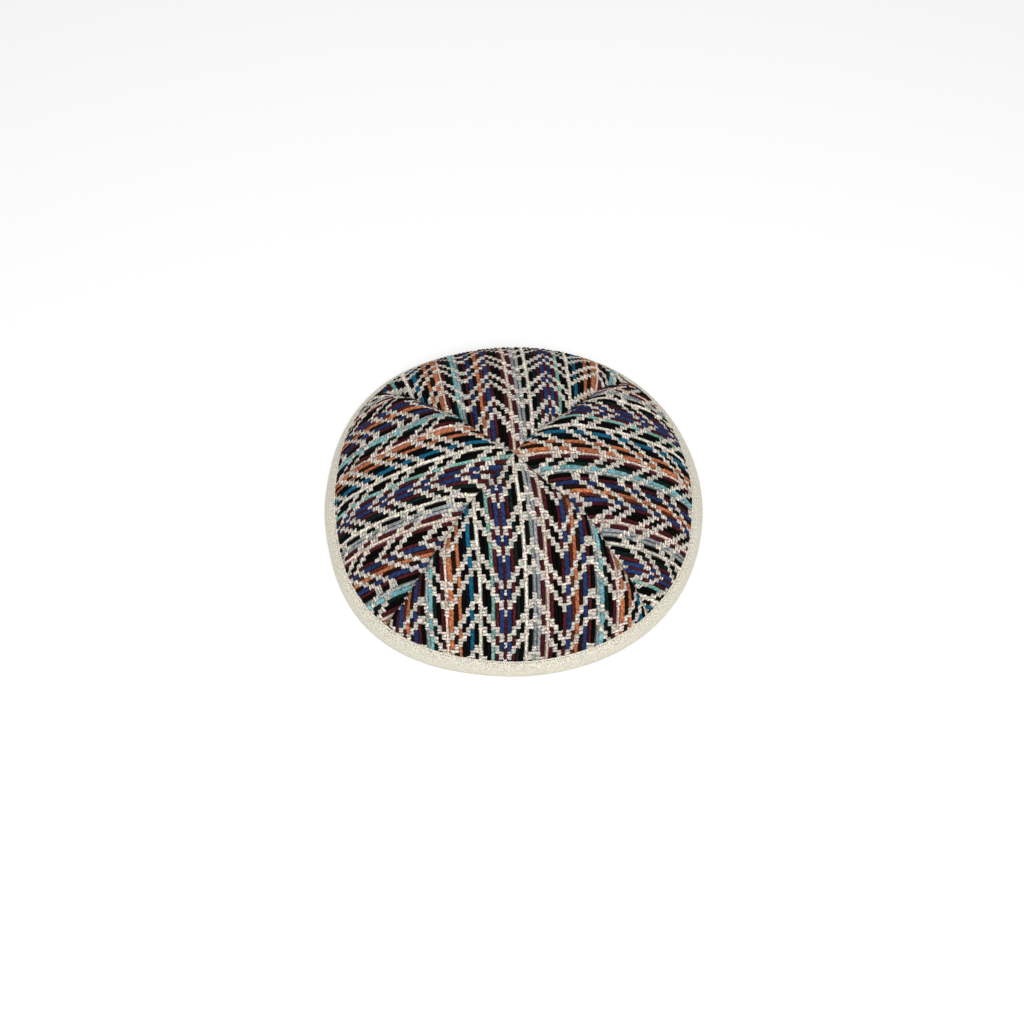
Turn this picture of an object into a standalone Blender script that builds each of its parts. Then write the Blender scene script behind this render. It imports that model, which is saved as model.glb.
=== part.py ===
"""Four-panel cloth skullcap with a folded tape around its rim.

Four gores of thick woven cloth meet at the apex and are sewn edge to edge.
The crown is a shallow dome, part of a sphere, whose rim is pushed out a little
at the seams, so that it looks like a rounded square from above.
Along each seam the cloth sinks into a shallow valley, and beside the seams the
gathered cloth stands up in small puckers. The lower edges of the gores sit in
a tape folded in a U, which is pressed flat where the cap stands on it.

Metres, +Z up, origin under the middle of the cap on the surface it stands on.
The front gore faces -Y. Azimuths are in degrees, counted from +X towards +Y.
"""

import math

import bpy
import numpy as np

# Overall sizes
RIM_RADIUS = 0.085
CROWN_HEIGHT = 0.046

# Cloth and tape
CLOTH_THICKNESS = 0.0015
TAPE_THICKNESS = 0.0010
TAPE_HEIGHT_OUTSIDE = 0.0077
TAPE_HEIGHT_INSIDE = 0.0070
TAPE_PRESSED = 0.00055

# Clearances
SEAM_GAP = 0.0003
TAPE_CLEARANCE = 0.0003

# The cloth swells into a soft shoulder above the tape
SHOULDER_LIFT = 0.0014
SHOULDER_UP = 0.022
SHOULDER_WIDTH = 0.013

# Shape of the rim and of the seams
CORNER_HALF_WIDTH = 40.0
CORNER_GROWTH = 2.2
SEAM_DIP = 0.0022
SEAM_DIP_WIDTH = 0.0060
SEAM_FADE_TOP = 0.014
SEAM_FADE_RIM = 0.010
PUCKER_HEIGHT = 0.0012
PUCKER_OUT = 0.0065
PUCKER_WIDTH = 0.0045
PUCKER_LENGTH = 0.0070
TIP_RADIUS = 0.0008

# Each seam: its azimuth at the rim, how far it has turned by the apex, how far
# the rim stands out there and how deep its valley is. Azimuths are in degrees,
# the other two columns are shares of the rim radius and of the seam dip.
SEAMS = {
    # name: (azimuth, turn, corner, dip)
    "back_right": (51.0, 6.0, 0.019, 0.9),
    "back_left": (137.0, 0.0, 0.046, 1.0),
    "front_left": (228.0, 0.0, 0.051, 1.0),
    "front_right": (315.5, 4.0, 0.019, 0.9),
}

# Each pucker: the seam that it lies beside, its place on the way from the apex
# to the rim, the side it is on (1 for larger azimuths) and its height, the
# place as a share of the arc and the height as a share of the pucker height.
PUCKERS = (
    # seam, place, side, height
    ("front_left", 0.34, -1, 1.0),
    ("front_left", 0.55, 1, 0.7),
    ("front_left", 0.72, -1, 1.3),
    ("front_right", 0.30, 1, 0.8),
    ("front_right", 0.48, 1, 1.2),
    ("front_right", 0.62, -1, 0.6),
    ("front_right", 0.78, 1, 1.0),
    ("back_left", 0.40, 1, 1.0),
    ("back_left", 0.66, 1, 1.3),
    ("back_right", 0.36, -1, 1.0),
    ("back_right", 0.64, -1, 1.3),
)

# Each gore: the seams at its two sides, in the order of growing azimuth
GORES = {
    "crown_right": ("front_right", "back_right"),
    "crown_back": ("back_right", "back_left"),
    "crown_left": ("back_left", "front_left"),
    "crown_front": ("front_left", "front_right"),
}

# Facets
GORE_COLUMNS = 18
GORE_ROWS = 18
EDGE_CROWDING = 0.7
TAPE_STATIONS = 72
FOLD_STEPS = 8
LEG_STEPS = 3
TAPE_SHARP_ANGLE = 50.0

# Finishes: base colour, roughness
CLOTH_FINISH = ((0.16, 0.14, 0.15, 1.0), 0.95)
TAPE_FINISH = ((0.74, 0.69, 0.55, 1.0), 0.95)

# The fold of the tape turns about the middle of the cloth's lower edge
FOLD_INNER_RADIUS = CLOTH_THICKNESS / 2.0 + TAPE_CLEARANCE
FOLD_OUTER_RADIUS = FOLD_INNER_RADIUS + TAPE_THICKNESS
FOLD_CENTRE_RADIUS = RIM_RADIUS - FOLD_OUTER_RADIUS
FOLD_CENTRE_HEIGHT = FOLD_OUTER_RADIUS - TAPE_PRESSED

# The sphere of the cloth's outer face: halfway through the cloth it runs from
# under the apex to the centre of the fold
MIDDLE_RISE = CROWN_HEIGHT - CLOTH_THICKNESS / 2.0 - FOLD_CENTRE_HEIGHT
MIDDLE_SPHERE = (FOLD_CENTRE_RADIUS ** 2 + MIDDLE_RISE ** 2) / (2.0 * MIDDLE_RISE)
SPHERE_RADIUS = MIDDLE_SPHERE + CLOTH_THICKNESS / 2.0
GROUND_ANGLE = math.acos(1.0 - CROWN_HEIGHT / SPHERE_RADIUS)
ARC_LENGTH = SPHERE_RADIUS * GROUND_ANGLE
CLOTH_EDGE_PLACE = math.atan2(FOLD_CENTRE_RADIUS, MIDDLE_SPHERE - MIDDLE_RISE) / GROUND_ANGLE


def angle_between(azimuth, other):
    """Signed difference of two azimuths in degrees, between -180 and 180."""
    return (azimuth - other + 180.0) % 360.0 - 180.0


def seam_azimuth(seam, place):
    """Azimuth of a seam at a place along the arc, 0 at the apex and 1 at the rim."""
    azimuth, turn, _corner, _dip = SEAMS[seam]
    return azimuth + turn * (1.0 - place)


def corner_factor(place, azimuth):
    """Growth of the plan radius: a rounded corner at each seam, strongest at the rim."""
    factor = 1.0
    for rim_azimuth, _turn, corner, _dip in SEAMS.values():
        away = np.clip(np.abs(angle_between(azimuth, rim_azimuth)) / CORNER_HALF_WIDTH, 0.0, 1.0)
        factor = factor + corner * np.cos(0.5 * math.pi * away) ** 2 * place ** CORNER_GROWTH
    return factor


def smooth_ramp(value):
    """0 below 0, 1 above 1 and a smooth rise between."""
    value = np.clip(value, 0.0, 1.0)
    return value * value * (3.0 - 2.0 * value)


def cloth_lift(place, azimuth):
    """Height of the cloth over the dome: valleys on the seams, puckers beside them."""
    along = place * ARC_LENGTH
    radius = SPHERE_RADIUS * np.sin(place * GROUND_ANGLE)
    tape_top = ARC_LENGTH - TAPE_HEIGHT_OUTSIDE
    fade = smooth_ramp(along / SEAM_FADE_TOP) * smooth_ramp((tape_top - along) / SEAM_FADE_RIM)
    lift = 0.0
    for seam, (_azimuth, _turn, _corner, dip) in SEAMS.items():
        across = np.radians(angle_between(azimuth, seam_azimuth(seam, place))) * radius
        lift = lift - SEAM_DIP * dip * fade * np.exp(-((across / SEAM_DIP_WIDTH) ** 2))
    for seam, centre, side, height in PUCKERS:
        across = np.radians(angle_between(azimuth, seam_azimuth(seam, place))) * radius
        sideways = (across - side * PUCKER_OUT) / PUCKER_WIDTH
        lengthways = (along - centre * ARC_LENGTH) / PUCKER_LENGTH
        lift = lift + PUCKER_HEIGHT * height * fade * np.exp(-(sideways ** 2) - lengthways ** 2)
    return lift


def dome_point(place, azimuth, offset):
    """Point on the shouldered dome at a place and azimuth, offset outwards along its normal."""
    angle = place * GROUND_ANGLE
    up = (1.0 - place) * ARC_LENGTH
    offset = offset + SHOULDER_LIFT * np.exp(-(((up - SHOULDER_UP) / SHOULDER_WIDTH) ** 2))
    radius = SPHERE_RADIUS * np.sin(angle) * corner_factor(place, azimuth) + offset * np.sin(angle)
    height = CROWN_HEIGHT - SPHERE_RADIUS * (1.0 - np.cos(angle)) + offset * np.cos(angle)
    turn = np.radians(azimuth)
    return np.stack([radius * np.cos(turn), radius * np.sin(turn), height], axis=-1)


def new_object(name, points, faces, finish):
    """Mesh object with smooth shading and its own material."""
    mesh = bpy.data.meshes.new(name)
    mesh.from_pydata(points.tolist(), [], faces.tolist())
    mesh.shade_smooth()
    colour, roughness = finish
    material = bpy.data.materials.new(name + "_finish")
    material.use_nodes = True
    shader = material.node_tree.nodes["Principled BSDF"]
    shader.inputs["Base Color"].default_value = colour
    shader.inputs["Roughness"].default_value = roughness
    shader.inputs["Metallic"].default_value = 0.0
    mesh.materials.append(material)
    obj = bpy.data.objects.new(name, mesh)
    bpy.context.scene.collection.objects.link(obj)
    return obj


def ring_faces(ring):
    """Quads between the point numbers of a closed grid, which wraps both ways."""
    across = np.roll(ring, -1, axis=1)
    corners = (ring, across, np.roll(across, -1, axis=0), np.roll(ring, -1, axis=0))
    return np.stack(corners, axis=-1)


def make_gore(name):
    """One panel: the outer face as a grid from the tip to the rim, thickened inwards."""
    first, second = GORES[name]
    tip_place = TIP_RADIUS / ARC_LENGTH
    place = np.linspace(tip_place, CLOTH_EDGE_PLACE, GORE_ROWS + 1)[:, None]
    even = np.linspace(0.0, 1.0, GORE_COLUMNS + 1)[None, :]
    crowded = 0.5 - 0.5 * np.cos(math.pi * even)
    share = (1.0 - EDGE_CROWDING) * even + EDGE_CROWDING * crowded
    half_gap = np.degrees(SEAM_GAP / 2.0 / (SPHERE_RADIUS * np.sin(place * GROUND_ANGLE)))
    start = seam_azimuth(first, place) + half_gap
    width = angle_between(seam_azimuth(second, place), seam_azimuth(first, place)) - 2.0 * half_gap
    azimuth = start + width * share
    place = np.broadcast_to(place, azimuth.shape)
    points = dome_point(place, azimuth, cloth_lift(place, azimuth)).reshape(-1, 3)
    numbers = np.arange(len(points)).reshape(place.shape)
    faces = ring_faces(numbers)[:-1, :-1, ::-1].reshape(-1, 4)
    gore = new_object(name, points, faces, CLOTH_FINISH)
    wall = gore.modifiers.new("wall", "SOLIDIFY")
    wall.thickness = CLOTH_THICKNESS
    wall.offset = -1.0
    return gore


def tape_section():
    """Closed section of the folded tape as rows of place, offset, turn and radius.

    Up the outside, over the top edge, down to the fold around the cloth's edge,
    up the inside, over the inner top edge and down to the sole. Rows of the fold
    have a turn about its centre, from 0 outside to pi inside, and a radius.
    """
    outside_top = 1.0 - TAPE_HEIGHT_OUTSIDE / ARC_LENGTH
    inside_top = 1.0 - TAPE_HEIGHT_INSIDE / ARC_LENGTH
    rounding = TAPE_THICKNESS / 3.0
    outside_near = TAPE_CLEARANCE
    outside_far = TAPE_CLEARANCE + TAPE_THICKNESS
    inside_near = -CLOTH_THICKNESS - TAPE_CLEARANCE
    inside_far = inside_near - TAPE_THICKNESS
    rounding_share = rounding / ARC_LENGTH
    rows = []
    for place in np.linspace(CLOTH_EDGE_PLACE, outside_top + rounding_share, LEG_STEPS + 1)[1:]:
        rows.append((place, outside_far, 0.0, 0.0))
    rows.append((outside_top, outside_far - rounding, 0.0, 0.0))
    for place in np.linspace(outside_top, CLOTH_EDGE_PLACE, LEG_STEPS + 1)[:-1]:
        rows.append((place, outside_near, 0.0, 0.0))
    for turn in np.linspace(0.0, math.pi, FOLD_STEPS // 2 + 1):
        rows.append((CLOTH_EDGE_PLACE, 0.0, turn, FOLD_INNER_RADIUS))
    for place in np.linspace(CLOTH_EDGE_PLACE, inside_top, LEG_STEPS + 1)[1:]:
        rows.append((place, inside_near, 0.0, 0.0))
    rows.append((inside_top, inside_far + rounding, 0.0, 0.0))
    for place in np.linspace(inside_top + rounding_share, CLOTH_EDGE_PLACE, LEG_STEPS + 1)[:-1]:
        rows.append((place, inside_far, 0.0, 0.0))
    for turn in np.linspace(math.pi, 0.0, FOLD_STEPS + 1):
        rows.append((CLOTH_EDGE_PLACE, 0.0, turn, FOLD_OUTER_RADIUS))
    return np.array(rows)


def make_binding():
    """The tape: its section carried around the rim, with the sole pressed flat."""
    stations = np.arange(TAPE_STATIONS) * 360.0 / TAPE_STATIONS
    section = tape_section()[:, :, None]
    place, offset, turn, radius, azimuth = np.broadcast_arrays(*section.swapaxes(0, 1), stations)
    folded = radius > 0.0
    offset = np.where(folded, radius * np.cos(turn) - CLOTH_THICKNESS / 2.0, offset)
    down = radius * np.sin(turn)
    outwards = down * np.cos(place * GROUND_ANGLE)
    points = dome_point(place, azimuth, offset)
    points[..., 0] += outwards * np.cos(np.radians(azimuth))
    points[..., 1] += outwards * np.sin(np.radians(azimuth))
    points[..., 2] = np.maximum(points[..., 2] - down * np.sin(place * GROUND_ANGLE), 0.0)
    numbers = np.arange(place.size).reshape(place.shape)
    faces = ring_faces(numbers).reshape(-1, 4)
    binding = new_object("rim_binding", points.reshape(-1, 3), faces, TAPE_FINISH)
    binding.data.set_sharp_from_angle(angle=math.radians(TAPE_SHARP_ANGLE))
    return binding


def centre_plan(objects):
    """Move every mesh so that the cap's plan is centred on the origin."""
    points = np.array([vertex.co[:2] for obj in objects for vertex in obj.data.vertices])
    middle = 0.5 * (points.min(axis=0) + points.max(axis=0))
    for obj in objects:
        for vertex in obj.data.vertices:
            vertex.co.x -= middle[0]
            vertex.co.y -= middle[1]
        obj.data.update()


def clear_scene():
    """Remove every object of the scene."""
    for obj in list(bpy.data.objects):
        bpy.data.objects.remove(obj, do_unlink=True)


def main():
    """Build the four gores and the tape."""
    clear_scene()
    objects = [make_gore(name) for name in GORES]
    objects.append(make_binding())
    centre_plan(objects)


main()
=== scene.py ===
"""Looks of a four-panel woven skullcap, laid over its CAD solids.

Every panel gets a cloth shell, warp floats in the order of a 41-column colour
repeat and the cream picks that lie over them in chevron bands. A folded tape
with small stitches covers the lower edges of the panels.

Metres, +Z up, the front panel faces -Y. Azimuths are in degrees, counted from
+X towards +Y, and bearings are azimuths counted from a panel's own middle.
A place is the way down from the apex as a share of the arc to the ground.
"""

import math

import bpy
import numpy as np
from bpy.props import FloatProperty, FloatVectorProperty, PointerProperty
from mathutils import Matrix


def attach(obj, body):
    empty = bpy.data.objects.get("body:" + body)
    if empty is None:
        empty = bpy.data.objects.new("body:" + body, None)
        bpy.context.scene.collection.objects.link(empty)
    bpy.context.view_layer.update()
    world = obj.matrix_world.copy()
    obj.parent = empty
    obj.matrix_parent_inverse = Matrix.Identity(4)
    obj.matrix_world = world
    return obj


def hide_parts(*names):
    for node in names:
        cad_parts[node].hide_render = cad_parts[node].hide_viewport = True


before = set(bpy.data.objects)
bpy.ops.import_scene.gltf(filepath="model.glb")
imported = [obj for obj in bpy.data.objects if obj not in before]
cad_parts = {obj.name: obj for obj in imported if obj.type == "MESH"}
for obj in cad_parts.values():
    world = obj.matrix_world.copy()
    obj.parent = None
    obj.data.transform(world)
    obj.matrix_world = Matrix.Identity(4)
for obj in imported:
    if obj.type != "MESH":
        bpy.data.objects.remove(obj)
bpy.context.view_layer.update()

bl_info = {
    "name": "Woven skullcap looks",
    "version": (1, 0, 0),
    "blender": (4, 5, 0),
    "location": "View3D > Sidebar > Skullcap",
    "description": "Yarns, cloth and tape of a woven skullcap around its CAD solids",
    "category": "Object",
}

BODY = "root"
MILLIMETRE = 0.001

# Sizes of the cap, the same as in the CAD part
RIM_RADIUS = 0.085
CROWN_HEIGHT = 0.046
CLOTH_THICKNESS = 0.0015
TAPE_THICKNESS = 0.0010
TAPE_HEIGHT_OUTSIDE = 0.0077
TAPE_HEIGHT_INSIDE = 0.0070
TAPE_PRESSED = 0.00055
TAPE_CLEARANCE = 0.0003
SHOULDER_LIFT = 0.0014
SHOULDER_UP = 0.022
SHOULDER_WIDTH = 0.013
CORNER_HALF_WIDTH = 40.0
CORNER_GROWTH = 2.2
SEAM_DIP = 0.0022
SEAM_DIP_WIDTH = 0.0060
SEAM_FADE_TOP = 0.014
SEAM_FADE_RIM = 0.010
PUCKER_HEIGHT = 0.0012
PUCKER_OUT = 0.0065
PUCKER_WIDTH = 0.0045
PUCKER_LENGTH = 0.0070

# Each seam: azimuth at the rim, turn by the apex, corner as a share of the rim's
# radius and dip as a share of the seam dip
SEAMS = {
    "back_right": (51.0, 6.0, 0.019, 0.9),
    "back_left": (137.0, 0.0, 0.046, 1.0),
    "front_left": (228.0, 0.0, 0.051, 1.0),
    "front_right": (315.5, 4.0, 0.019, 0.9),
}

# How far each seam wanders sideways, towards larger azimuths: pairs of the way down
# and the shift, both in millimetres
SEAM_WAVES = {
    "back_right": (
        (0, 0), (15, 0), (22, -1.0), (30, -2.6), (38, -3.7), (50, -4.0), (58, -3.4), (66, -2.5),
        (76, -1.6), (90, -1.9)),
    "back_left": ((0, 0), (30, 0), (38, -1.2), (45, 0), (60, -0.6), (75, -0.4), (90, 0)),
    "front_left": (
        (0, 0), (30, 0), (42, 1.0), (55, 1.4), (66, 2.1), (74, 2.3), (80, 2.7), (86, 1.3), (92, 1.6)),
    "front_right": (
        (0, 0), (15, 0.3), (25, 1.0), (33, 1.6), (39, 3.5), (45, 2.8), (53, 2.4), (59, 1.0),
        (68, 1.1), (76, 0.8), (83, 0.8), (90, 0.2)),
}
SMALLEST_WAVE_RADIUS = 0.003

# Each pucker: its seam, its place, its side (1 for larger azimuths) and its height
# as a share of the pucker height
PUCKERS = (
    ("front_left", 0.34, -1, 1.0),
    ("front_left", 0.55, 1, 0.7),
    ("front_left", 0.72, -1, 1.3),
    ("front_right", 0.30, 1, 0.8),
    ("front_right", 0.48, 1, 1.2),
    ("front_right", 0.62, -1, 0.6),
    ("front_right", 0.78, 1, 1.0),
    ("back_left", 0.40, 1, 1.0),
    ("back_left", 0.66, 1, 1.3),
    ("back_right", 0.36, -1, 1.0),
    ("back_right", 0.64, -1, 1.3),
)

# The dome, worked out as in the CAD part
FOLD_INNER_RADIUS = CLOTH_THICKNESS / 2.0 + TAPE_CLEARANCE
FOLD_OUTER_RADIUS = FOLD_INNER_RADIUS + TAPE_THICKNESS
FOLD_CENTRE_RADIUS = RIM_RADIUS - FOLD_OUTER_RADIUS
FOLD_CENTRE_HEIGHT = FOLD_OUTER_RADIUS - TAPE_PRESSED
MIDDLE_RISE = CROWN_HEIGHT - CLOTH_THICKNESS / 2.0 - FOLD_CENTRE_HEIGHT
MIDDLE_SPHERE = (FOLD_CENTRE_RADIUS ** 2 + MIDDLE_RISE ** 2) / (2.0 * MIDDLE_RISE)
SPHERE_RADIUS = MIDDLE_SPHERE + CLOTH_THICKNESS / 2.0
GROUND_ANGLE = math.acos(1.0 - CROWN_HEIGHT / SPHERE_RADIUS)
ARC_LENGTH = SPHERE_RADIUS * GROUND_ANGLE
CLOTH_EDGE_PLACE = math.atan2(FOLD_CENTRE_RADIUS, MIDDLE_SPHERE - MIDDLE_RISE) / GROUND_ANGLE
TAPE_TOP = ARC_LENGTH - TAPE_HEIGHT_OUTSIDE

# Where the tape's upper edge rises or falls: azimuth and half width in degrees,
# rise in metres
TAPE_WAVES = ((100.0, 66.0, -0.0033), (5.0, 20.0, 0.0022), (181.0, 18.0, 0.0018))

# The cloth bulges over the tape at the back: azimuth and half width in degrees,
# height over the tape's lower edge, half width and size of the bulge
BULGE_AZIMUTH = 98.0
BULGE_SPREAD = 64.0
BULGE_UP = 0.0105
BULGE_WIDTH = 0.0050
BULGE_HEIGHT = 0.0007
BULGE_FADE = 0.0030

# How the cloth of each panel was cut. axis: azimuth of the panel's middle.
# middle: the warp column there. run: sideways place of a column in millimetres,
# as the shares of 1, x, y, x*y, y*y and x*x, with x the columns from the middle
# in tens and y the way down from 45 mm in shares of 45 mm. start and repeat: the
# first pick and the height of the pattern repeat in metres. skew: how far the
# picks drop over ten columns, in metres. sway and drop: how far the cloth was
# pulled sideways and down from that even lattice in millimetres, as the shares of
# 1, x, y, x*y, y*y, x*x, x*x*x, x*x*y and x*y*y, with x held within reach. tugs:
# small pulls more, each with its place in x and y, its half widths in x and y, and
# its sway and drop.
PANELS = {
    "crown_front": {
        "axis": 270.0, "seams": ("front_left", "front_right"), "middle": 28.05,
        "run": (-0.43, 17.4, 2.79, 0.0, -1.98, 0.0),
        "start": 0.0156, "repeat": 0.0227, "skew": 0.0,
        "sway": (-0.23, 0.43, 0.53, -0.45, -0.62, 0.0, 0.03, 0.19, -0.07),
        "drop": (0.38, -1.01, 0.20, 0.20, -0.16, -0.46, 0.0, 0.39, 1.04),
        "reach": (-3.4, 3.1),
        "tugs": (
            (1.75, 0.55, 0.32, 0.45, -0.08, -0.91), (1.30, -0.10, 0.35, 0.35, -0.21, 0.48),
            (2.35, 0.25, 0.35, 0.35, 0.07, 0.40)),
    },
    "crown_left": {
        "axis": 180.0, "seams": ("back_left", "front_left"), "middle": 20.0,
        "run": (3.0, 17.9, 4.8, -0.71, -0.94, -0.2),
        "start": 0.0158, "repeat": 0.02176, "skew": -0.00215,
        "sway": (-1.10, 0.32, 1.20, -0.60, 0.58, -0.30, 0.11, 0.23, 0.11),
        "drop": (0.89, 0.37, -0.98, 1.15, -0.84, 0.19, -0.13, 0.26, 0.19),
        "reach": (-2.6, 3.6),
        "tugs": ((-1.10, -0.30, 0.50, 0.30, -0.36, 0.49),),
    },
    "crown_back": {
        "axis": 90.0, "seams": ("back_right", "back_left"), "middle": 33.0,
        "run": (-2.7, 19.0, 2.8, 1.5, 0.0, 0.0),
        "start": 0.0202, "repeat": 0.0218, "skew": -0.0010,
        "sway": (0.51, -0.81, 0.61, -0.81, -0.10, 0.26, -0.29, -0.03, 0.06),
        "drop": (2.43, -0.37, -1.93, 0.30, 0.33, 0.04, 0.37, -0.45, -0.13),
        "reach": (-1.6, 2.1),
        "tugs": ((0.50, -0.86, 0.50, 0.15, 0.0, -3.0),),
    },
    "crown_right": {
        "axis": 0.0, "seams": ("front_right", "back_right"), "middle": 13.0,
        "run": (3.7, 18.1, 1.68, -0.12, -3.49, 0.3),
        "start": 0.02046, "repeat": 0.02104, "skew": -0.00106,
        "sway": (1.23, 0.21, -0.04, -0.02, 0.32, 0.03, 0.03, 0.06, -0.08),
        "drop": (0.69, -1.13, 0.71, 0.99, -0.79, 0.79, 0.26, 0.02, 0.57),
        "reach": (-3.5, 1.9),
        "tugs": ((-1.30, 0.05, 0.60, 0.35, 0.36, 0.75), (-2.45, 0.30, 0.50, 0.40, -0.37, -0.67)),
    },
}

# Columns for each unit of x, metres for each unit of y, reach of the pull in y
# and the rounds that find its way back
COLUMNS_IN_X = 10.0
WAY_IN_Y = 0.045
PULL_DOWN = (-0.9, 1.1)
PULL_ROUNDS = 6

# The colour of each warp column of the repeat
WARP = (
    "blue", "rust", "orange", "brown", "blue", "maroon", "black", "grey", "aqua", "green",
    "black", "maroon", "rose", "orange", "brown", "orange", "black", "navy", "teal", "black",
    "cream", "black", "black", "mint", "maroon", "blue", "maroon", "blue", "maroon", "green",
    "black", "cream", "black", "grey", "lilac", "maroon", "rose", "maroon", "black", "black",
    "maroon",
)

# The chevron: columns where its bands turn, and the steps they have climbed there
TURN_COLUMNS = (-1.0, 5.5, 12.0, 19.0, 26.0, 33.0, 40.0, 46.5)
TOP_STEP = 7.0
TURN_STEPS = (0.0, TOP_STEP) * 4
STEPS_IN_REPEAT = 8.0
PICKS_IN_REPEAT = 16

# Columns whose yarn isn't like the rest: shares of its width and height, and
# its shift in columns
COLUMN_SHAPES = {
    0: (1.36, 1.10, 0.0), 1: (0.84, 0.90, 0.08), 4: (1.30, 1.10, 0.0), 5: (0.86, 0.90, 0.10),
    7: (0.80, 0.90, 0.12), 8: (1.20, 1.10, 0.0), 12: (0.56, 1.00, -0.10), 13: (1.36, 1.10, -0.04),
    14: (0.90, 0.90, 0.15), 15: (0.86, 1.00, 0.10), 17: (0.84, 0.90, -0.10), 18: (1.22, 1.10, -0.06),
    20: (0.84, 1.05, 0.0), 25: (1.30, 1.10, 0.14), 26: (0.90, 0.62, 0.0), 27: (1.30, 1.10, -0.14),
    31: (0.74, 1.05, 0.0), 33: (0.84, 0.95, 0.0), 34: (0.90, 0.95, 0.0), 36: (0.70, 1.05, 0.0),
}

# The two cream bands that cross every column in a repeat, as shares of it. Between
# them the warp floats, once over a short way and once over a long one. The band
# is shorter, and lower, on the column in the middle of the blue chevron.
BAND_CENTRES = (0.0, 12.0 / 32.0)
BAND_HALF = 2.5 / 32.0
NARROW_COLUMN = 26
NARROW_HALF = 1.8 / 32.0
NARROW_SHIFT = 1.2 / 32.0

# Where the yarns end, sink at the seams and are pressed under the tape, in metres
SEAM_MARGIN = 0.00018
SEAM_SINK = 0.0017
SEAM_SINK_WIDTH = 0.0022
SINK_FADE = 0.008
CUT_DROP = 0.0012
TIP_ALONG = 0.0004
YARN_TUCK = 0.0009
PRESS_START = 0.0008
PRESS_LENGTH = 0.0014
SHORTEST_FLOAT = 0.0010
FLOAT_OVERLAP = 0.0004
PICK_OVERLAP = 0.0003

# Share of the sink that is left at the apex, share of a panel's width that the
# margin may take, share of the height that the tape takes, and widest bearing
SINK_AT_APEX = 0.25
WIDEST_MARGIN = 0.4
PRESS_SHARE = 0.85
WIDEST_BEARING = 80.0

# Columns, repeats and picks that are tried on every panel
COLUMNS_TRIED = np.arange(-30.0, 90.0)
REPEATS_TRIED = np.arange(-2.0, 7.0)
PICKS_TRIED = np.arange(-30.0, 120.0)

# Floats: samples that find what shows, length of an end in metres and its largest
# share of a float, stations along an end and between the ends, power of their
# roundness, smallest swell, share of the underside, ranges of random shares of
# width, height and colour, random slant and drift in columns, dimming of pale
# yarns and the longest random start of the twist in millimetres
FLOAT_SAMPLES = 41
FLOAT_END = 0.0011
LONGEST_END = 0.45
END_STATIONS = np.array([0.0, 0.10, 0.38, 1.0])
BETWEEN_STATIONS = np.array([0.3, 0.7])
ROUNDNESS = 0.8
SMALLEST_SWELL = 0.02
UNDERSIDE = 0.25
FLOAT_WIDTHS = (0.94, 1.08)
FLOAT_UNEVEN = (0.88, 1.10)
FLOAT_HEIGHTS = (0.84, 1.10)
FLOAT_TINTS = (0.78, 1.20)
FLOAT_SLANT = 0.09
FLOAT_DRIFT = 0.07
PALE_DIMMING = 0.25
FLOAT_PATH_START = 10.0

# Picks: stations and swell along, fall of the height at the ends, half width in
# pick distances, thickness as a share of the height, range of the half length in
# columns, ranges of random shares of width, height and colour, tinge by the warp,
# random slant and stray in pick distances, shift in columns, raggedness of the
# bands in picks, half length and longest random start of the twist in millimetres
PICK_STATIONS = np.array([-1.0, -0.66, -0.24, 0.24, 0.66, 1.0])
PICK_SWELL = np.array([0.0, 0.74, 1.0, 1.0, 0.74, 0.0])
PICK_FALL = 0.70
PICK_HALF_WIDTH = 0.53
PICK_THICKNESS = 0.6
PICK_REACHES = (0.64, 0.88)
PICK_WIDTHS = (0.80, 1.14)
PICK_HEIGHTS = (0.78, 1.16)
PICK_TINTS = (0.66, 0.92)
PICK_TINGE = 0.16
PICK_SLANT = 0.34
PICK_STRAY = 0.22
PICK_ASIDE = 0.12
BAND_RAGGED = 0.35
PICK_HALF_PATH = 0.9
PICK_PATH_START = 3.0

# Shell: gap to a seam, share of the yarns' sink, share of evenly spread points
SHELL_GAP = 0.0001
SHELL_SINK = 0.8
SHELL_EVEN = 0.4

# Tape: gap and half thickness at its edge, way over which waves set in, size of
# the waves, of the raggedness and of the swell, and slow waves as size, count, turn
TAPE_EDGE_GAP = 0.0001
TAPE_EDGE_HALF = 0.0004
WAVES_START = 0.006
WAVE_SIZE = 0.00012
RAGGED_SIZE = 0.00013
SWELL_SIZE = 0.00006
SWELL_OVER = 0.0005
SWELL_RATE = 3.1
SWELL_TURN = 40.0
SLOW_WAVES = ((0.5, 7.0, 0.6), (0.3, 17.0, 0.0), (0.2, 31.0, 0.0))

# Stitches: stations, half width, height over the cloth, swell, random shares
STITCH_STATIONS = np.array([-1.0, -0.8, -0.3, 0.3, 0.8, 1.0])
STITCH_HALF_WIDTH = 0.00019
STITCH_HEIGHT = 0.00095
STITCH_SWELL = 0.00012
STITCH_STRAY = 0.00008
STITCH_JITTER = 0.25

# Shades of the yarns and the cloth, each with its gain and base. The flank and ply shades of
# the yarns are painted shade, on the sides of each yarn and in the grooves between its
# plies; fuzz and patches are random tone.
YARN_PAINTED_FLANK_SHADE = (0.72, 0.34)
YARN_PAINTED_PLY_SHADE = (0.30, 0.82)
YARN_FUZZ = (2.90, -0.48)
YARN_PATCHES = (0.30, 0.86)
YARN_TINGE = ((1.1, 1.1, 1.1), (0.45, 0.45, 0.45))
# Painted shade of the cloth: on the outside the low base is painted shadow under the yarns, and on
# both sides the gain is painted shade in the grooves of the weave. The cream boost lightens the
# painted shadow under the cream bands.
CLOTH_OUTSIDE_PAINTED_SHADE = (0.26, 0.28)
CLOTH_REVERSE_PAINTED_SHADE = (0.38, 0.62)
CLOTH_FUZZ = (0.4, 0.8)
CREAM_BOOST = 1.6

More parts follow.
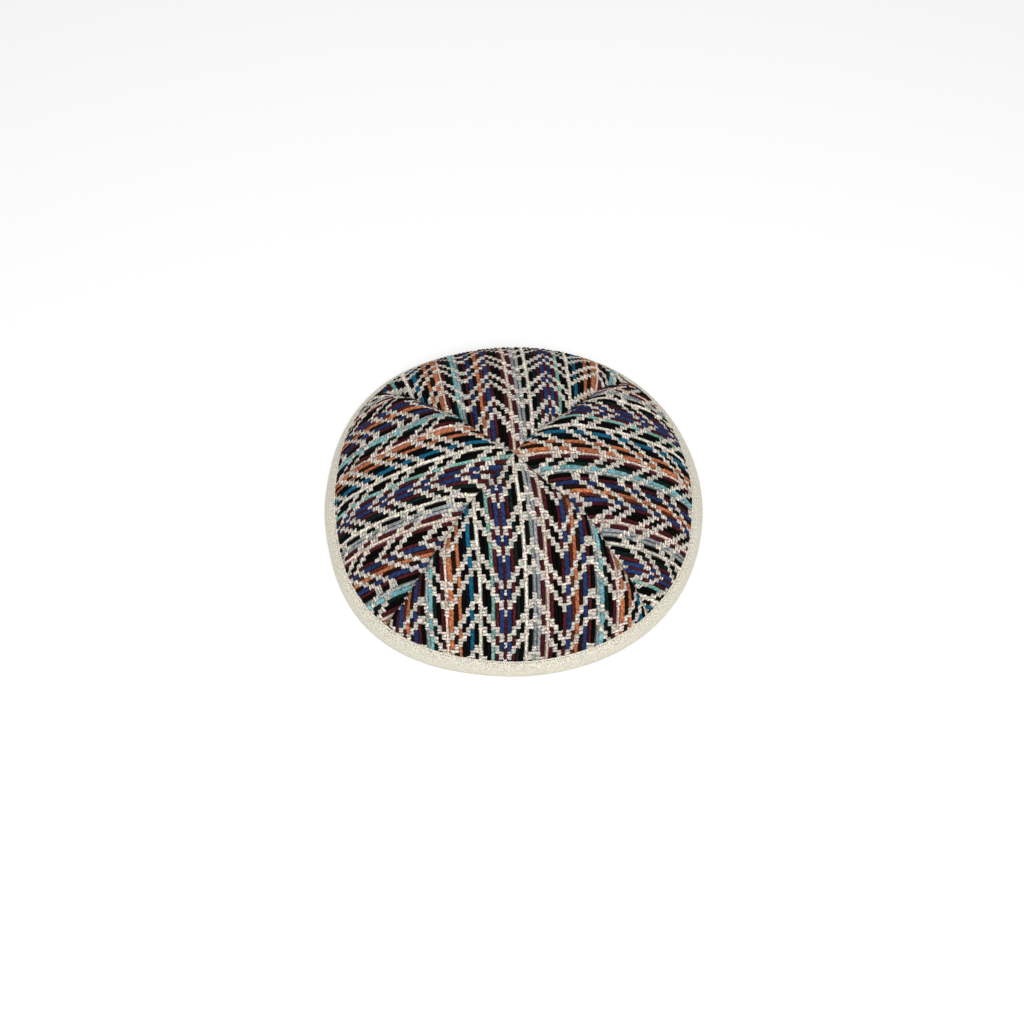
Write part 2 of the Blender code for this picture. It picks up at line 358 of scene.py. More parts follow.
# Share of the fuzz in the relief, for the tape those of the weave and the speckle,
# strength and distance of the bump, and roughness and specular level
YARN_RELIEF = 0.6
YARN_BUMP = (0.7, 0.00012)
YARN_FINISH = (0.9, 0.03)
CLOTH_RELIEF = 0.5
CLOTH_BUMP = (0.9, 0.0003)
CLOTH_FINISH = (0.95, 0.1)
TAPE_RELIEF = (0.4, 0.8)
TAPE_BUMP = (0.6, 0.00012)
TAPE_FINISH = (0.9, 0.2)
TAPE_SHEEN = 0.1

# Shades and grain of the tape
TAPE_TONE = (0.10, 0.95)
TAPE_TINGE = ((0.36, 0.30, 0.50), (0.82, 0.85, 0.75))
TAPE_RIB = 0.22
TAPE_SPECKLE = 2.0
TAPE_GRAIN_MIDDLE = 1.11
TAPE_BASE = 0.93

# Tape pattern in millimetres: slope and distance of the ribs, distance of the
# threads, and where its grain fades up the outer leg
TAPE_SLOPE = 0.45
TAPE_RIB_DISTANCE = 0.86
TAPE_THREAD_DISTANCE = 0.45
TAPE_FADE = {1: 4.2, 2: 7.0, 3: 1.0, 4: 0.3}

# Noises: scale and detail
FIBRE_NOISE = (1300.0, 4.0)
PATCH_NOISE = (180.0, 2.0)
FUZZ_NOISE = (2200.0, 3.0)
FLECK_NOISE = (1700.0, 2.0)
TONE_NOISE = (60.0, 2.0)

# Seeds of the random numbers, the first of four for floats and picks
FLOAT_SEED = 11
PICK_SEED = 21
TAPE_SEED = 7
STITCH_SEED = 5

# Facets
SHELL_STEPS = 72
TAPE_STATIONS = 840
FLOAT_RING = 8
PICK_RING = 6

# Camera and stage
VIEW_ELEVATION = 58.3
VIEW_DISTANCE = 0.780
FOCAL_PIXELS = 1813.5
IMAGE_PIXELS = 1024.0
SENSOR = 36.0
APEX_RIGHT_PIXELS = 1.8
APEX_UP_PIXELS = 60.0
FLOOR_HALF_WIDTH = 12.0
STUDIO_LIGHT = 0.45
KEY_LIGHT = ((0.16, -0.62, 1.10), 0.8, 8.8)
TOP_LIGHT = ((-0.20, -0.05, 1.30), 1.2, 5.0)


def srgb(red, green, blue):
    """Linear colour of an sRGB colour given in 0 to 255."""
    share = np.array([red, green, blue]) / 255.0
    linear = np.where(share <= 0.04045, share / 12.92, ((share + 0.055) / 1.055) ** 2.4)
    return tuple(float(value) for value in linear)


def colour_property(name, red, green, blue):
    """A colour that a user may change, with its default given in sRGB."""
    return FloatVectorProperty(
        name=name, description="Colour of the " + name.lower(), subtype="COLOR",
        default=srgb(red, green, blue), min=0.0, max=1.0,
    )


def length_property(name, description, default):
    """A length in metres that a user may change."""
    return FloatProperty(
        name=name, description=description, default=default, min=0.0, unit="LENGTH", precision=5,
    )


class CapSizes(bpy.types.PropertyGroup):
    """Sizes of the yarns and stitches."""

    float_height: length_property(
        "Float height", "How far a warp float stands above the cloth", 0.00080)
    pick_height: length_property(
        "Pick height", "How far a cream pick stands above the cloth", 0.00054)
    ply_length: length_property(
        "Ply length", "Length of one turn of a yarn's plies", 0.0032)
    stitch_length: length_property(
        "Stitch length", "Length of one stitch of the tape", 0.00060)
    stitch_spacing: length_property(
        "Stitch spacing", "Distance from one stitch of the tape to the next", 0.0010)
    stitch_down: length_property(
        "Stitch line", "Distance of the stitches from the tape's upper edge", 0.00035)


class CapColours(bpy.types.PropertyGroup):
    """Colours of the yarns, the tape and the floor."""

    black: colour_property("Black yarn", 11, 10, 9)
    blue: colour_property("Blue yarn", 36, 50, 88)
    navy: colour_property("Navy yarn", 13, 15, 24)
    maroon: colour_property("Maroon yarn", 68, 27, 31)
    rust: colour_property("Rust yarn", 84, 38, 27)
    orange: colour_property("Orange yarn", 170, 104, 72)
    brown: colour_property("Brown yarn", 34, 18, 11)
    grey: colour_property("Grey yarn", 148, 157, 154)
    aqua: colour_property("Aqua yarn", 118, 172, 178)
    mint: colour_property("Mint yarn", 124, 170, 160)
    teal: colour_property("Teal yarn", 26, 88, 114)
    green: colour_property("Dark green yarn", 17, 31, 28)
    lilac: colour_property("Lilac yarn", 150, 151, 157)
    rose: colour_property("Rose cream yarn", 224, 198, 184)
    cream: colour_property("Cream yarn", 245, 238, 224)
    tape: colour_property("Tape", 225, 220, 203)
    stitch: colour_property("Tape stitch", 70, 50, 38)
    floor: colour_property("Floor", 253, 253, 253)


def sizes():
    """The sizes set in the scene."""
    return bpy.context.scene.cap_sizes


def colours():
    """The colours set in the scene."""
    return bpy.context.scene.cap_colours


def angle_between(azimuth, other):
    """Signed difference of two azimuths in degrees, between -180 and 180."""
    return (azimuth - other + 180.0) % 360.0 - 180.0


def plan_radius(place):
    """Distance of a place on the sphere from the upright line through the apex."""
    return SPHERE_RADIUS * np.sin(place * GROUND_ANGLE)


def seam_azimuth(seam, place):
    """Azimuth of a seam at a place along the arc, 0 at the apex and 1 at the rim."""
    azimuth, turn, _corner, _dip = SEAMS[seam]
    down, shift = zip(*SEAM_WAVES[seam])
    sideways = np.interp(place * ARC_LENGTH / MILLIMETRE, down, shift) * MILLIMETRE
    radius = np.maximum(plan_radius(place), SMALLEST_WAVE_RADIUS)
    return azimuth + turn * (1.0 - place) + np.degrees(sideways / radius)


def smooth_ramp(value):
    """0 below 0, 1 above 1 and a smooth rise between."""
    value = np.clip(value, 0.0, 1.0)
    return value * value * (3.0 - 2.0 * value)


def corner_factor(place, azimuth):
    """Growth of the plan radius: a rounded corner at each seam, strongest at the rim."""
    factor = 1.0
    for rim_azimuth, _turn, corner, _dip in SEAMS.values():
        away = np.clip(np.abs(angle_between(azimuth, rim_azimuth)) / CORNER_HALF_WIDTH, 0.0, 1.0)
        factor = factor + corner * np.cos(0.5 * math.pi * away) ** 2 * place ** CORNER_GROWTH
    return factor


def tape_top(azimuth):
    """Way down from the apex to the tape's upper edge."""
    rise = 0.0
    for centre, spread, height in TAPE_WAVES:
        rise = rise + height * np.exp(-((angle_between(azimuth, centre) / spread) ** 4))
    return TAPE_TOP - rise


def cloth_lift(place, azimuth):
    """Height of the cloth over the dome: valleys on the seams, puckers, a bulge at the back."""
    along = place * ARC_LENGTH
    radius = plan_radius(place)
    fade = smooth_ramp(along / SEAM_FADE_TOP) * smooth_ramp((TAPE_TOP - along) / SEAM_FADE_RIM)
    lift = 0.0
    for seam, (_azimuth, _turn, _corner, dip) in SEAMS.items():
        across = np.radians(angle_between(azimuth, seam_azimuth(seam, place))) * radius
        lift = lift - SEAM_DIP * dip * fade * np.exp(-((across / SEAM_DIP_WIDTH) ** 2))
    for seam, centre, side, height in PUCKERS:
        across = np.radians(angle_between(azimuth, seam_azimuth(seam, place))) * radius
        sideways = (across - side * PUCKER_OUT) / PUCKER_WIDTH
        lengthways = (along - centre * ARC_LENGTH) / PUCKER_LENGTH
        lift = lift + PUCKER_HEIGHT * height * fade * np.exp(-(sideways ** 2) - lengthways ** 2)
    around = angle_between(azimuth, BULGE_AZIMUTH) / BULGE_SPREAD
    upwards = (ARC_LENGTH - along - BULGE_UP) / BULGE_WIDTH
    bulge = BULGE_HEIGHT * np.exp(-(around ** 4) - upwards ** 2)
    return lift + bulge * smooth_ramp((tape_top(azimuth) - along) / BULGE_FADE)


def dome_point(place, azimuth, offset):
    """Point on the shouldered dome at a place and azimuth, offset outwards along its normal."""
    angle = place * GROUND_ANGLE
    up = (1.0 - place) * ARC_LENGTH
    offset = offset + SHOULDER_LIFT * np.exp(-(((up - SHOULDER_UP) / SHOULDER_WIDTH) ** 2))
    radius = SPHERE_RADIUS * np.sin(angle) * corner_factor(place, azimuth) + offset * np.sin(angle)
    height = CROWN_HEIGHT - SPHERE_RADIUS * (1.0 - np.cos(angle)) + offset * np.cos(angle)
    turn = np.radians(azimuth)
    return np.stack([radius * np.cos(turn), radius * np.sin(turn), height], axis=-1)


def seam_bearings(panel, place):
    """Bearings of a panel's two seams from its axis, in degrees."""
    first, second = PANELS[panel]["seams"]
    axis = PANELS[panel]["axis"]
    low = angle_between(seam_azimuth(first, place), axis)
    high = angle_between(seam_azimuth(second, place), axis)
    return low, high


def pull(panel, name, x, y):
    """How far the cloth was pulled, in millimetres: its sway or its drop with the tugs."""
    x = np.clip(x, *PANELS[panel]["reach"])
    y = np.clip(y, *PULL_DOWN)
    one, per_x, per_y, per_xy, per_yy, per_xx, per_xxx, per_xxy, per_xyy = PANELS[panel][name]
    total = one + x * (per_x + x * (per_xx + x * per_xxx))
    total = total + y * (per_y + x * (per_xy + x * per_xxy) + y * (per_yy + x * per_xyy))
    for at_x, at_y, wide_x, wide_y, sway, drop in PANELS[panel]["tugs"]:
        size = sway if name == "sway" else drop
        total = total + size * np.exp(-(((x - at_x) / wide_x) ** 2) - ((y - at_y) / wide_y) ** 2)
    return total


def thread_to_dome(panel, column, along):
    """Place and bearing of a point of the cloth from its warp column and its way down.

    The column's sideways distance u is a second-degree sum of column and way
    down, and v is the way down itself, both with the cloth's pull added. The
    point lies u sideways from the panel's middle line and v down that line, as
    arcs of the sphere.
    """
    one, per_x, per_y, per_xy, per_yy, per_xx = PANELS[panel]["run"]
    x = (column - PANELS[panel]["middle"]) / COLUMNS_IN_X
    y = (along - WAY_IN_Y) / WAY_IN_Y
    sideways = one + per_x * x + per_y * y + per_xy * x * y + per_yy * y * y + per_xx * x * x
    across = (sideways + pull(panel, "sway", x, y)) * MILLIMETRE / SPHERE_RADIUS
    down = (along + pull(panel, "drop", x, y) * MILLIMETRE) / SPHERE_RADIUS
    upright = np.cos(across) * np.cos(down)
    outwards = np.cos(across) * np.sin(down)
    sidewards = np.sin(across)
    angle = np.arctan2(np.hypot(outwards, sidewards), upright)
    return angle / GROUND_ANGLE, np.degrees(np.arctan2(sidewards, outwards))


def dome_to_thread(panel, place, bearing):
    """Warp column and way down of a point of the dome: the way back of thread_to_dome.

    The pull is taken at the last column and way down, and both are found again.
    """
    one, per_x, per_y, per_xy, per_yy, per_xx = PANELS[panel]["run"]
    angle = place * GROUND_ANGLE
    turn = np.radians(bearing)
    across = np.arcsin(np.sin(angle) * np.sin(turn))
    down = np.arctan2(np.sin(angle) * np.cos(turn), np.cos(angle))
    along = down * SPHERE_RADIUS
    sway = 0.0
    for _round in range(PULL_ROUNDS):
        y = (along - WAY_IN_Y) / WAY_IN_Y
        rest = one + per_y * y + per_yy * y * y + sway - across * SPHERE_RADIUS / MILLIMETRE
        slope = per_x + per_xy * y
        x = -2.0 * rest / (slope + np.sqrt(slope * slope - 4.0 * per_xx * rest))
        sway = pull(panel, "sway", x, y)
        along = down * SPHERE_RADIUS - pull(panel, "drop", x, y) * MILLIMETRE
    return PANELS[panel]["middle"] + COLUMNS_IN_X * x, along


def chevron_step(column):
    """How many steps the cream bands have climbed at a column."""
    return np.interp((column + 1.0) % len(WARP) - 1.0, TURN_COLUMNS, TURN_STEPS)


def pick_start(panel, column):
    """Way down of the first pick at a column, with the panel's skew."""
    cut = PANELS[panel]
    return cut["start"] + cut["skew"] * (column - cut["middle"]) / COLUMNS_IN_X


def band_shift(panel, column):
    """How far down the pattern starts at a column: its first pick and the chevron."""
    climbed = chevron_step(column) / STEPS_IN_REPEAT * PANELS[panel]["repeat"]
    return pick_start(panel, column) - climbed


def column_shape(column, number):
    """One of the three numbers of COLUMN_SHAPES for every given column."""
    usual = (1.0, 1.0, 0.0)
    table = np.array([COLUMN_SHAPES.get(index, usual)[number] for index in range(len(WARP))])
    return table[np.round(column).astype(int) % len(WARP)]


def band_place(column):
    """Half height and shift of the cream bands on every given column, as shares of the repeat."""
    narrow = np.round(column).astype(int) % len(WARP) == NARROW_COLUMN
    return np.where(narrow, NARROW_HALF, BAND_HALF), np.where(narrow, NARROW_SHIFT, 0.0)


def seam_sink(place, edge):
    """Depth of the cloth near a seam under the rest, at a distance from the seam."""
    grown = smooth_ramp(place * ARC_LENGTH / SINK_FADE)
    fade = SINK_AT_APEX + (1.0 - SINK_AT_APEX) * grown
    return SEAM_SINK * fade * np.exp(-((edge / SEAM_SINK_WIDTH) ** 2))


def inside_by(panel, place, bearing):
    """Distance from the nearer seam, positive inside the panel."""
    low, high = seam_bearings(panel, place)
    return np.radians(np.minimum(bearing - low, high - bearing)) * plan_radius(place)


def under_tape(panel, place, bearing):
    """Distance below the tape's upper edge, negative above it."""
    return place * ARC_LENGTH - tape_top(PANELS[panel]["axis"] + bearing)


def is_shown(panel, place, bearing, overlap):
    """Whether a point is on its panel: between the seams, past the apex and over the tape."""
    between = (inside_by(panel, place, bearing) > -overlap) & (np.abs(bearing) < WIDEST_BEARING)
    over_tape = under_tape(panel, place, bearing) < YARN_TUCK
    return between & over_tape & (place * ARC_LENGTH > TIP_ALONG)


def lay_on_cap(panel, column, along, height):
    """Points of yarns on the cap from their column, way down and height over the cloth.

    What would cross a seam is held at it and drops into it, the yarns sink
    towards the seams, and the tape presses them down at its upper edge.
    """
    place, bearing = thread_to_dome(panel, column, along)
    end = (tape_top(PANELS[panel]["axis"] + bearing) + YARN_TUCK) / ARC_LENGTH
    place = np.clip(place, TIP_ALONG / ARC_LENGTH, end)
    radius = plan_radius(place)
    low, high = seam_bearings(panel, place)
    margin = np.minimum(np.degrees(SEAM_MARGIN / radius), WIDEST_MARGIN * (high - low))
    kept = np.clip(bearing, low + margin, high - margin)
    cut = np.radians(np.abs(bearing - kept)) * radius
    sunk = np.minimum(cut, CUT_DROP) + seam_sink(place, inside_by(panel, place, kept))
    pressed = smooth_ramp((under_tape(panel, place, bearing) + PRESS_START) / PRESS_LENGTH)
    azimuth = PANELS[panel]["axis"] + kept
    lift = cloth_lift(place, azimuth) + (height - sunk) * (1.0 - PRESS_SHARE * pressed)
    return dome_point(place, azimuth, lift)


def new_piece(name, points, faces, materials, smooth=True):
    """Mesh object in the scene from points and lists of faces."""
    mesh = bpy.data.meshes.new(name)
    mesh.from_pydata(points.reshape(-1, 3).tolist(), [], faces)
    mesh.validate()
    if smooth:
        mesh.shade_smooth()
    for material in materials:
        mesh.materials.append(material)
    piece = bpy.data.objects.new(name, mesh)
    bpy.context.scene.collection.objects.link(piece)
    return piece


def add_map(piece, name, corners):
    """UV map from two numbers for every face corner."""
    layer = piece.data.uv_layers.new(name=name)
    layer.data.foreach_set("uv", np.asarray(corners, dtype=np.float32).ravel())


def add_colours(piece, name, values):
    """Colour attribute from three numbers for every point."""
    layer = piece.data.color_attributes.new(name=name, type="FLOAT_COLOR", domain="POINT")
    full = np.ones((len(values), 4), dtype=np.float32)
    full[:, :3] = values
    layer.data.foreach_set("color", full.ravel())


def pair(first, second):
    """Two arrays side by side along a new last axis."""
    return np.stack([first, second], axis=-1)


def ring_parts(count):
    """Way round a yarn from its underside as shares, with the parts sideways and up."""
    share = np.arange(count) / count
    turn = 2.0 * math.pi * share - 0.5 * math.pi
    return share, np.cos(turn), np.sin(turn)


def tube_piece(name, points, ring_share, path_length, tints, material):
    """Closed yarns from an array of points in the order yarn, station, ring.

    Each yarn starts and ends in one pole and has rings between. ring_share is
    the way round for every ring point, path_length the way along in millimetres
    for every yarn and station, and tints the colour of every yarn.
    """
    yarns, stations, ring = points.shape[:3]
    inner = points[:, 1:-1].reshape(yarns, -1, 3)
    poles = points[:, (0, -1)].mean(axis=2)
    vertices = np.concatenate([poles, inner], axis=1)
    per_yarn = vertices.shape[1]
    numbers = 2 + np.arange((stations - 2) * ring).reshape(stations - 2, ring)
    after = np.roll(numbers, -1, axis=1)
    first = np.zeros(ring, dtype=int)
    fans = np.concatenate([
        np.stack([first, after[0], numbers[0]], axis=-1),
        np.stack([first + 1, numbers[-1], after[-1]], axis=-1),
    ])
    quads = np.stack([numbers[:-1], after[:-1], after[1:], numbers[1:]], axis=-1).reshape(-1, 4)
    base = np.arange(yarns)[:, None, None] * per_yarn
    all_fans = (fans[None] + base).reshape(-1, 3)
    all_quads = (quads[None] + base).reshape(-1, 4)
    piece = new_piece(name, vertices, all_fans.tolist() + all_quads.tolist(), [material])

    low = np.broadcast_to(ring_share, (yarns, stations - 2, ring))
    high = low + 1.0 / ring
    way = np.broadcast_to(path_length[:, 1:-1, None], low.shape)
    start = np.broadcast_to(path_length[:, :1], (yarns, ring))
    end = np.broadcast_to(path_length[:, -1:], (yarns, ring))
    middle = low[:, 0] + 0.5 / ring
    start_fans = np.stack([
        pair(middle, start), pair(high[:, 0], way[:, 0]), pair(low[:, 0], way[:, 0])], axis=2)
    end_fans = np.stack([
        pair(middle, end), pair(low[:, -1], way[:, -1]), pair(high[:, -1], way[:, -1])], axis=2)
    fan_corners = np.concatenate([start_fans, end_fans], axis=1).reshape(-1, 2)
    quad_corners = np.stack([
        pair(low[:, :-1], way[:, :-1]), pair(high[:, :-1], way[:, :-1]),
        pair(high[:, 1:], way[:, 1:]), pair(low[:, 1:], way[:, 1:])], axis=3).reshape(-1, 2)
    add_map(piece, "yarn", np.concatenate([fan_corners, quad_corners]))
    add_colours(piece, "tint", np.repeat(tints, per_yarn, axis=0))
    return piece


def warp_tints(columns):
    """Colour of each given warp column."""
    table = np.array([tuple(getattr(colours(), name)) for name in WARP])
    return table[np.round(columns).astype(int) % len(WARP)]


def make_floats(panel, seed):
    """Warp floats of one panel: pillows that run down the columns between the cream bands.

    Across, a float is half of a squared-off ellipse with a shallow underside.
    Along, its height rises over each end as the root of 1 - (1 - t)^2 and its
    width as a power of that, and both are full between the ends.
    """
    repeat_length = PANELS[panel]["repeat"]
    random = np.random.default_rng(seed)
    column, repeat, kind = (part.ravel() for part in np.meshgrid(
        COLUMNS_TRIED, REPEATS_TRIED, np.arange(2), indexing="ij"))
    half, lower = band_place(column)
    before = repeat + lower + half + np.where(kind < 1, BAND_CENTRES[0], BAND_CENTRES[1])
    after = repeat + lower - half + np.where(kind < 1, BAND_CENTRES[1], BAND_CENTRES[0] + 1.0)
    shift = band_shift(panel, column)
    start = shift + before * repeat_length
    end = shift + after * repeat_length

    way = np.linspace(0.0, 1.0, FLOAT_SAMPLES)
    along = start[:, None] + (end - start)[:, None] * way
    place, bearing = thread_to_dome(panel, column[:, None], along)
    shown = is_shown(panel, place, bearing, FLOAT_OVERLAP)
    step = (end - start) / (len(way) - 1)
    new_start = start + shown.argmax(axis=1) * step
    new_end = start + (len(way) - 1 - shown[:, ::-1].argmax(axis=1)) * step
    kept = shown.any(axis=1) & (new_end - new_start > SHORTEST_FLOAT)
    column, start, end = column[kept], new_start[kept], new_end[kept]

    count = len(column)
    length = end - start
    end_length = np.minimum(FLOAT_END, LONGEST_END * length)[:, None]
    rise = np.sqrt(1.0 - (1.0 - END_STATIONS) ** 2)
    between = end_length + (length[:, None] - 2.0 * end_length) * BETWEEN_STATIONS
    station = np.concatenate([
        end_length * END_STATIONS, between, length[:, None] - end_length * END_STATIONS[::-1]],
        axis=1)
    swell = np.concatenate([rise, np.ones(len(BETWEEN_STATIONS)), rise[::-1]])
    spread = random.uniform(*FLOAT_WIDTHS, count) * column_shape(column, 0)
    uneven = random.uniform(*FLOAT_UNEVEN, (count, len(swell)))
    width = 0.5 * spread[:, None] * uneven * np.maximum(swell, SMALLEST_SWELL) ** ROUNDNESS
    rise_share = random.uniform(*FLOAT_HEIGHTS, count) * column_shape(column, 1)
    height = (sizes().float_height * rise_share[:, None] * swell)[..., None]
    slant = random.uniform(-FLOAT_SLANT, FLOAT_SLANT, count)[:, None]
    drift = random.uniform(-FLOAT_DRIFT, FLOAT_DRIFT, (count, len(swell))) * swell
    drift = drift + slant * np.linspace(-1.0, 1.0, len(swell)) + column_shape(column, 2)[:, None]

    ring_share, side, lift = ring_parts(FLOAT_RING)
    top = np.sign(lift) * np.abs(lift) ** ROUNDNESS
    points_column = column[:, None, None] + drift[..., None] + width[..., None] * side
    points_along = (start[:, None] + station)[..., None] + 0.0 * side
    points_height = height * top * np.where(top > 0.0, 1.0, UNDERSIDE)
    points = lay_on_cap(panel, points_column, points_along, points_height)
    pale = warp_tints(column).min(axis=1, keepdims=True)
    tints = warp_tints(column) * random.uniform(*FLOAT_TINTS, (count, 1))
    tints = np.clip(tints * (1.0 - PALE_DIMMING * pale), 0.0, 1.0)
    path = station / MILLIMETRE + random.uniform(0.0, FLOAT_PATH_START, (count, 1))
    return tube_piece(panel + "_warp", points, ring_share, path, tints, yarn_material())


def make_picks(panel, seed):
    """Cream picks of one panel: a small spindle wherever a weft pick lies over a column.

    Across, a pick is an ellipse with its top at the pick's height. Along, with t
    from the middle of the column to an end, its height falls with t^2.
    """
    repeat_length = PANELS[panel]["repeat"]
    random = np.random.default_rng(seed)
    spacing = repeat_length / PICKS_IN_REPEAT
    column, pick = (part.ravel() for part in np.meshgrid(
        COLUMNS_TRIED, PICKS_TRIED, indexing="ij"))
    along = pick_start(panel, column) + pick * spacing
    phase = ((along - band_shift(panel, column)) / repeat_length) % 1.0
    half, lower = band_place(column)
    half = half + random.uniform(-BAND_RAGGED, BAND_RAGGED, len(column)) / PICKS_IN_REPEAT
    over = np.zeros(len(column), dtype=bool)
    for centre in BAND_CENTRES:
        over |= np.abs((phase - centre - lower + 0.5) % 1.0 - 0.5) < half
    place, bearing = thread_to_dome(panel, column, along)
    shown = over & is_shown(panel, place, bearing, PICK_OVERLAP)
    column, along = column[shown], along[shown]

    def each(low, high):
        """A random number for every pick, as a column."""
        return random.uniform(low, high, (len(column), 1))

    reach = each(*PICK_REACHES)
    width = PICK_HALF_WIDTH * spacing * each(*PICK_WIDTHS) * PICK_SWELL
    fall = 1.0 - PICK_FALL * PICK_STATIONS ** 2
    height = sizes().pick_height * each(*PICK_HEIGHTS) * fall
    thickness = PICK_THICKNESS * sizes().pick_height * PICK_SWELL
    slant = each(-PICK_SLANT, PICK_SLANT) * PICK_STATIONS
    stray = (slant + each(-PICK_STRAY, PICK_STRAY)) * spacing
    aside = each(-PICK_ASIDE, PICK_ASIDE)

    ring_share, side, lift = ring_parts(PICK_RING)
    points_column = (column[:, None] + aside + reach * PICK_STATIONS)[..., None] + 0.0 * side
    points_along = (along[:, None] + stray)[..., None] - width[..., None] * side
    points_height = height[..., None] + thickness[None, :, None] * (lift - 1.0)
    points = lay_on_cap(panel, points_column, points_along, points_height)
    tints = np.array(colours().cream) * each(*PICK_TINTS)
    tints = np.clip(tints * (1.0 - PICK_TINGE * (1.0 - warp_tints(column))), 0.0, 1.0)
    path = PICK_HALF_PATH * PICK_STATIONS + each(0.0, PICK_PATH_START)
    return tube_piece(panel + "_weft", points, ring_share, path, tints, yarn_material())


def make_shell(panel):
    """Cloth shell of one panel: its outer face, its inner face and the edges between.

    Both faces are grids of place and bearing between the two seams. The inner
    one is offset inwards by the cloth's thickness.
    """
    place = np.linspace(TIP_ALONG / ARC_LENGTH, CLOTH_EDGE_PLACE, SHELL_STEPS + 1)[:, None]
    even = np.linspace(0.0, 1.0, SHELL_STEPS + 1)[None, :]
    crowded = 0.5 - 0.5 * np.cos(math.pi * even)
    share = SHELL_EVEN * even + (1.0 - SHELL_EVEN) * crowded
    low, high = seam_bearings(panel, place)
    gap = np.degrees(SHELL_GAP / plan_radius(place))
    bearing = low + gap + (high - low - 2.0 * gap) * share
    place = np.broadcast_to(place, bearing.shape)
    azimuth = PANELS[panel]["axis"] + bearing
    lift = cloth_lift(place, azimuth)
    sunk = SHELL_SINK * seam_sink(place, inside_by(panel, place, bearing))
    outer = dome_point(place, azimuth, lift - sunk)
    inner = dome_point(place, azimuth, lift - CLOTH_THICKNESS)
    top, bottom = np.arange(2 * place.size).reshape(2, *place.shape)
    outer_faces = grid_faces(top)[:, ::-1]
    inner_faces = grid_faces(bottom)
    border, below = (np.concatenate([
        grid[0, :-1], grid[:-1, -1], grid[-1, :0:-1], grid[:0:-1, 0]]) for grid in (top, bottom))
    wall = np.stack([border, np.roll(border, -1), np.roll(below, -1), below], axis=-1)
    faces = np.concatenate([outer_faces, inner_faces, wall])
    materials = [cloth_material("cloth_outside", False), cloth_material("cloth_inside", True)]
    piece = new_piece(panel + "_cloth", np.stack([outer, inner]), faces.tolist(), materials)
    kinds = np.ones(len(faces), dtype=np.int32)
    kinds[:len(outer_faces)] = 0
    piece.data.polygons.foreach_set("material_index", kinds)
    column, along = dome_to_thread(panel, place, bearing)
    rows = (along - pick_start(panel, column)) / PANELS[panel]["repeat"]
    chart = np.tile(pair(column, rows).reshape(-1, 2), (2, 1))
    add_map(piece, "chart", chart[faces.ravel()])
    return piece


def grid_faces(numbers):
    """Quads of a grid of point numbers, facing the side where rows cross columns."""
    return np.stack([
        numbers[:-1, :-1], numbers[:-1, 1:], numbers[1:, 1:], numbers[1:, :-1]],
        axis=-1).reshape(-1, 4)


def tape_section():
    """Closed section of the folded tape: rows of place, offset, turn and radius.

    Down the inside of the outer leg, round the cloth's edge, up the inner leg,
    over its top edge, down to the sole, round the fold and up the outside. Rows
    of the fold have a turn about its centre and a radius.
    """
    outside_top = TAPE_TOP / ARC_LENGTH
    inside_top = 1.0 - TAPE_HEIGHT_INSIDE / ARC_LENGTH
    inside_near = -CLOTH_THICKNESS - TAPE_CLEARANCE
    half = TAPE_THICKNESS / 2.0
    full = TAPE_CLEARANCE + TAPE_THICKNESS
    edge = CLOTH_EDGE_PLACE
    rows = [(place, TAPE_EDGE_GAP, 0.0, 0.0) for place in np.linspace(outside_top, edge, 9)[:-1]]
    rows += [(edge, 0.0, turn, FOLD_INNER_RADIUS) for turn in np.linspace(0.0, math.pi, 9)]
    rows += [(place, inside_near, 0.0, 0.0) for place in np.linspace(edge, inside_top, 7)[1:]]
    for turn in np.linspace(0.0, math.pi, 7)[1:-1]:
        place = inside_top - half * math.sin(turn) / ARC_LENGTH
        rows.append((place, inside_near - half * (1.0 - math.cos(turn)), 0.0, 0.0))
    for place in np.linspace(inside_top, edge, 8)[:-1]:
        rows.append((place, inside_near - TAPE_THICKNESS, 0.0, 0.0))
    rows += [(edge, 0.0, turn, FOLD_OUTER_RADIUS) for turn in np.linspace(math.pi, 0.0, 17)]
    for share in np.linspace(0.0, 1.0, 13)[1:]:
        thinner = (2.0 * TAPE_EDGE_HALF + TAPE_EDGE_GAP - full) * share ** 2
        rows.append((edge + (outside_top - edge) * share, full + thinner, 0.0, 0.0))
    for turn in np.linspace(0.0, math.pi, 7)[1:-1]:
        place = outside_top - TAPE_EDGE_HALF * math.sin(turn) / ARC_LENGTH
        rows.append((place, TAPE_EDGE_GAP + TAPE_EDGE_HALF * (1.0 + math.cos(turn)), 0.0, 0.0))
    return np.array(rows)


def tape_wobble(azimuth):
    """Small slow waves round the tape, between -1 and 1."""
    turn = np.radians(azimuth)
    return sum(size * np.sin(rate * turn + first) for size, rate, first in SLOW_WAVES)


